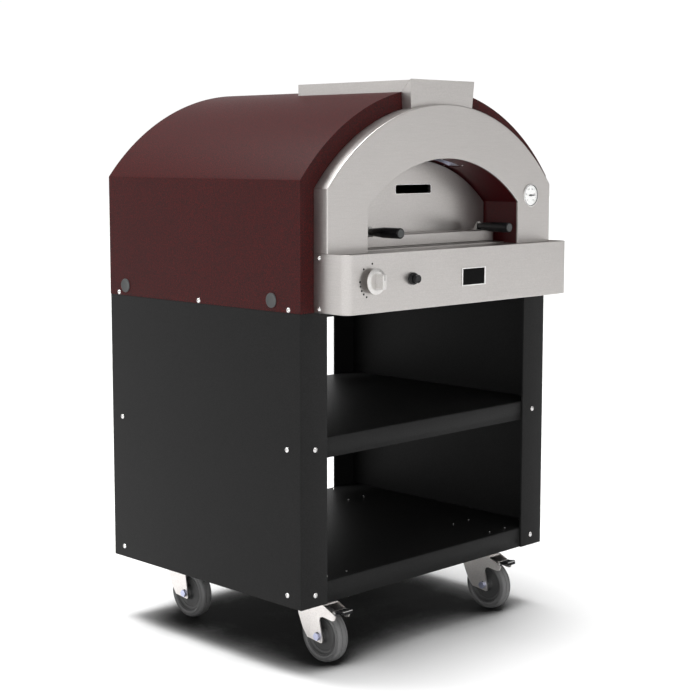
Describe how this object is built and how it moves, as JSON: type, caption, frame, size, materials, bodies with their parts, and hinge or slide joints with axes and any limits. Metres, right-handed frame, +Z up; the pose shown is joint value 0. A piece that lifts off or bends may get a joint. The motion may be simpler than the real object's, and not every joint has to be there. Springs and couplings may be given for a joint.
{
  "type": "pizza oven on wheeled stand",
  "caption": "Arched pizza oven with a burgundy shell, stainless hood, console and lift-off door, on a black open-shelf stand with braked swivel casters.",
  "frame": {"origin": "middle of the whole object's box, on the ground under the casters", "axes": "+X to the right as seen from the mouth, +Y from the mouth to the back, +Z up"},
  "size_m": [0.8444, 0.809, 1.3067],
  "materials": {
    "burgundy": "satin",
    "black": "satin",
    "steel": "satin",
    "zinc": "satin",
    "grey_rubber": "matte",
    "grey_plastic": "satin",
    "phenolic": "satin",
    "dial": "satin",
    "glass": "gloss",
    "stone": "matte",
    "wool": "matte",
    "brass": "satin",
    "copper": "satin"
  },
  "bodies": {
    "oven_and_stand": {"back_panel": "burgundy", "badge_plate": "phenolic", "bottom_shelf": "black", "burner_tube": "steel", "chimney_cover": "steel", "chimney_front": "steel", "console": "steel", "dome_insulation": "wool", "floor_insulation": "wool", "flue_duct": "steel", "front_left_caster_plate": "zinc", "front_left_plug": "phenolic", "front_right_caster_plate": "zinc", "front_right_plug": "phenolic", "gas_pipe": "copper", "gas_valve": "brass", "hood": "steel", "igniter_collar": "phenolic", "left_hearth_stone": "stone", "left_side_panel": "black", "middle_shelf": "black", "mouth_lining": "burgundy", "oven_base_plate": "black", "oven_dome": "steel", "oven_shell": "burgundy", "rear_left_caster_plate": "zinc", "rear_left_plug": "phenolic", "rear_right_caster_plate": "zinc", "rear_right_plug": "phenolic", "right_hearth_stone": "stone", "right_side_panel": "black", "sill_plate": "steel", "stand_top_plate": "black", "thermometer_case": "steel", "thermometer_dial": "dial", "thermometer_glass": "glass"},
    "door": {"oven_door": "steel", "left_door_handle": "phenolic", "right_door_handle": "phenolic"},
    "knob": {"control_knob": "steel"},
    "igniter": {"igniter_button": "phenolic"},
    "needle": {"thermometer_needle": "phenolic"},
    "front_left_swivel": {"front_left_caster_fork": "zinc", "front_left_caster_axle": "zinc"},
    "front_left_wheel": {"front_left_caster_tyre": "grey_rubber", "front_left_caster_hub": "grey_plastic"},
    "front_right_swivel": {"front_right_caster_fork": "zinc", "front_right_caster_axle": "zinc"},
    "front_right_wheel": {"front_right_caster_tyre": "grey_rubber", "front_right_caster_hub": "grey_plastic"},
    "rear_left_swivel": {"rear_left_caster_fork": "zinc", "rear_left_caster_axle": "zinc"},
    "rear_left_wheel": {"rear_left_caster_tyre": "grey_rubber", "rear_left_caster_hub": "grey_plastic"},
    "rear_right_swivel": {"rear_right_caster_fork": "zinc", "rear_right_caster_axle": "zinc"},
    "rear_right_wheel": {"rear_right_caster_tyre": "grey_rubber", "rear_right_caster_hub": "grey_plastic"},
    "front_left_pedal": {"front_left_brake_pedal": "zinc"},
    "front_right_pedal": {"front_right_brake_pedal": "zinc"}
  },
  "joints": [
    {"name": "door_pull", "type": "slide", "parent": "oven_and_stand", "child": "door", "axis": [0, -0.9996, 0.0282], "range_m": [0, 0.3]},
    {"name": "knob_turn", "type": "hinge", "parent": "oven_and_stand", "child": "knob", "pos_m": [-0.305, -0.3675, 0.873], "axis": [0, -1, 0], "range_deg": [0, 153]},
    {"name": "igniter_press", "type": "slide", "parent": "oven_and_stand", "child": "igniter", "axis": [0, 1, 0], "range_m": [0, 0.004], "stiffness_N_per_m": 1000, "springref_m": -0.003},
    {"name": "needle_turn", "type": "hinge", "parent": "oven_and_stand", "child": "needle", "pos_m": [0.3046, -0.3106, 1.0414], "axis": [0, -1, 0], "range_deg": [-45, 225]},
    {"name": "front_left_swivel_turn", "type": "hinge", "parent": "oven_and_stand", "child": "front_left_swivel", "pos_m": [-0.2887, -0.168, 0.1382], "axis": [0, 0, 1], "continuous": true},
    {"name": "front_left_wheel_spin", "type": "hinge", "parent": "front_left_swivel", "child": "front_left_wheel", "pos_m": [-0.2887, -0.2065, 0.0625], "axis": [1, 0, 0], "continuous": true},
    {"name": "front_right_swivel_turn", "type": "hinge", "parent": "oven_and_stand", "child": "front_right_swivel", "pos_m": [0.2887, -0.168, 0.1382], "axis": [0, 0, 1], "continuous": true},
    {"name": "front_right_wheel_spin", "type": "hinge", "parent": "front_right_swivel", "child": "front_right_wheel", "pos_m": [0.2887, -0.2065, 0.0625], "axis": [1, 0, 0], "continuous": true},
    {"name": "rear_left_swivel_turn", "type": "hinge", "parent": "oven_and_stand", "child": "rear_left_swivel", "pos_m": [-0.2887, 0.305, 0.1382], "axis": [0, 0, 1], "continuous": true},
    {"name": "rear_left_wheel_spin", "type": "hinge", "parent": "rear_left_swivel", "child": "rear_left_wheel", "pos_m": [-0.2887, 0.2665, 0.0625], "axis": [1, 0, 0], "continuous": true},
    {"name": "rear_right_swivel_turn", "type": "hinge", "parent": "oven_and_stand", "child": "rear_right_swivel", "pos_m": [0.2887, 0.305, 0.1382], "axis": [0, 0, 1], "continuous": true},
    {"name": "rear_right_wheel_spin", "type": "hinge", "parent": "rear_right_swivel", "child": "rear_right_wheel", "pos_m": [0.2887, 0.2665, 0.0625], "axis": [1, 0, 0], "continuous": true},
    {"name": "front_left_pedal_press", "type": "hinge", "parent": "front_left_swivel", "child": "front_left_pedal", "pos_m": [-0.2887, -0.2525, 0.125], "axis": [1, 0, 0], "range_deg": [0, 12]},
    {"name": "front_right_pedal_press", "type": "hinge", "parent": "front_right_swivel", "child": "front_right_pedal", "pos_m": [0.2887, -0.2525, 0.125], "axis": [1, 0, 0], "range_deg": [0, 12]}
  ]
}
